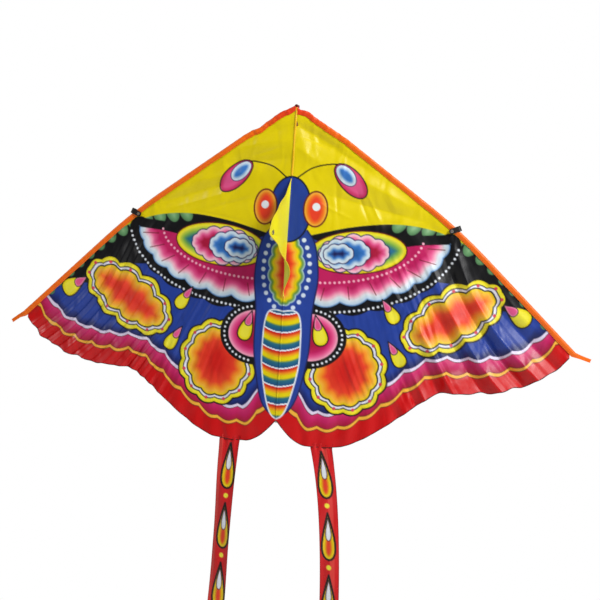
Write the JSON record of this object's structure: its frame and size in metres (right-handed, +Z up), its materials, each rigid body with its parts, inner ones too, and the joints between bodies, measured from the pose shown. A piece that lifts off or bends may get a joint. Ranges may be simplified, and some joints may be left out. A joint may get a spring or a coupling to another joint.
{
  "type": "delta kite",
  "caption": "Triangular single-line kite with printed butterfly sail, folding wings, snap-in spreader rod, towing keel and streamer tails.",
  "frame": {"origin": "the top of the nose, on the line of the centre seam, where the kite is held up", "axes": "+Z up along the spine towards the nose, -Y to the front (the printed side, where the keel is), +X to the right of someone who looks at the front"},
  "size_m": [0.9631, 0.1263, 1.0034],
  "materials": {
    "printed_sail": "thin glossy woven polyester, printed on the front in many colours",
    "keel_cloth": "thin glossy woven polyester, plain yellow",
    "tail_cloth": "thin glossy woven polyester, red with a printed feather pattern",
    "orange_tape": "satin orange binding tape, folded and stitched",
    "maroon_cloth": "dark red doubled cloth, stitched",
    "pocket_cloth": "pale grey woven cloth",
    "fibreglass": "satin black pultruded fibreglass",
    "black_plastic": "moulded black vinyl, slightly glossy",
    "nickel": "nickel-plated eyelet"
  },
  "bodies": {
    "spine": {"spine_rod": "fibreglass", "spine_sleeve": "orange_tape", "spine_top_cap": "black_plastic", "spine_bottom_cap": "black_plastic", "nose_hood": "maroon_cloth", "spine_pocket": "pocket_cloth", "centre_seam_tape": "orange_tape"},
    "left_wing": {"left_sail": "printed_sail", "left_edge_binding": "orange_tape", "left_edge_rod": "fibreglass", "left_rod_nose_cap": "black_plastic", "left_rod_tip_cap": "black_plastic", "left_spreader_clip": "black_plastic", "left_clip_rivet": "nickel", "left_tip_tab": "orange_tape"},
    "left_tail": {"left_tail": "tail_cloth"},
    "right_wing": {"right_sail": "printed_sail", "right_edge_binding": "orange_tape", "right_edge_rod": "fibreglass", "right_rod_nose_cap": "black_plastic", "right_rod_tip_cap": "black_plastic", "right_spreader_clip": "black_plastic", "right_clip_rivet": "nickel", "right_tip_tab": "orange_tape"},
    "right_tail": {"right_tail": "tail_cloth"},
    "keel": {"keel_fin": "keel_cloth", "tow_eyelet": "nickel"},
    "spreader": {"spreader_rod": "fibreglass", "spreader_left_cap": "black_plastic", "spreader_right_cap": "black_plastic"}
  },
  "joints": [
    {"name": "left_wing_fold", "type": "hinge", "parent": "spine", "child": "left_wing", "pos_m": [0, 0, -0.25], "axis": [0, 0, 1], "range_deg": [0, 60]},
    {"name": "right_wing_fold", "type": "hinge", "parent": "spine", "child": "right_wing", "pos_m": [0, 0, -0.25], "axis": [0, 0, 1], "range_deg": [-60, 0]},
    {"name": "keel_swing", "type": "hinge", "parent": "spine", "child": "keel", "pos_m": [0, 0, -0.21], "axis": [0, 0, 1], "range_deg": [-66, 70]},
    {"name": "spreader_release", "type": "slide", "parent": "spine", "child": "spreader", "axis": [0, 1, 0], "range_m": [0, 0.06]},
    {"name": "left_tail_swing", "type": "hinge", "parent": "left_wing", "child": "left_tail", "pos_m": [-0.07521, 0.00658, -0.5422], "axis": [0.9962, -0.0872, 0], "range_deg": [-75, 75]},
    {"name": "right_tail_swing", "type": "hinge", "parent": "right_wing", "child": "right_tail", "pos_m": [0.07521, 0.00658, -0.5422], "axis": [-0.9962, -0.0872, 0], "range_deg": [-75, 75]}
  ]
}
